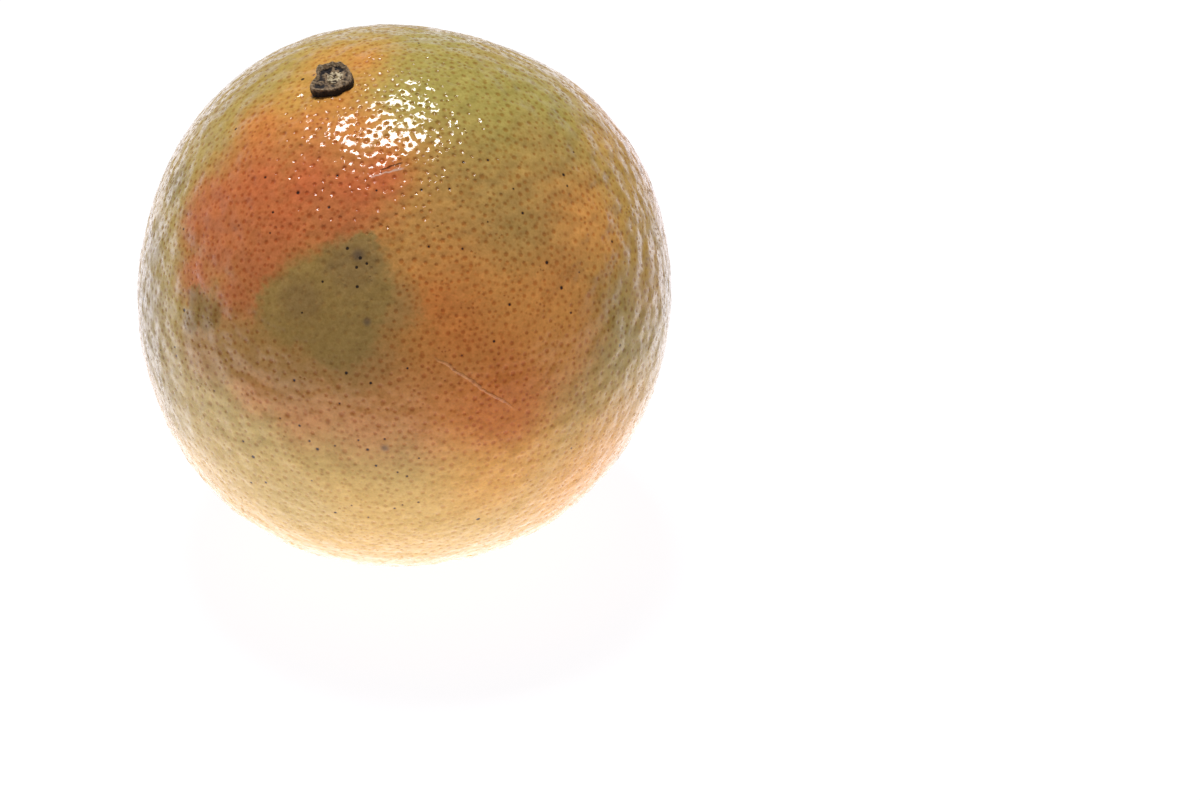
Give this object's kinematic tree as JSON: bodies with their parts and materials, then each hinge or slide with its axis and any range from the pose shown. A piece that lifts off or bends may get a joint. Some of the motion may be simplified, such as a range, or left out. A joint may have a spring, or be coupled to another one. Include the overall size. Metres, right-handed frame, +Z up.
{
  "type": "grapefruit",
  "caption": "Whole round grapefruit with blushed, finely pitted peel, a dried calyx and a broken stem stub, resting on a small flat spot.",
  "frame": {"origin": "centre of the flat spot that the fruit rests on, straight below the fruit's centre", "axes": "+Z up; -Y faces the viewer of the picture; the stem end leans about 14 degrees from +Z towards -X and a little towards -Y"},
  "size_m": [0.1011, 0.1022, 0.1034],
  "materials": {
    "peel": "waxy citrus peel, glossy between fine oil-gland pits, yellow with an orange blush and green patches",
    "dried_calyx": "dry, wrinkled, dark grey-brown",
    "broken_stem": "dry, pale, splintered"
  },
  "bodies": {
    "root": {"fruit": "peel", "calyx": "dried_calyx", "stem_stub": "broken_stem"}
  },
  "joints": []
}
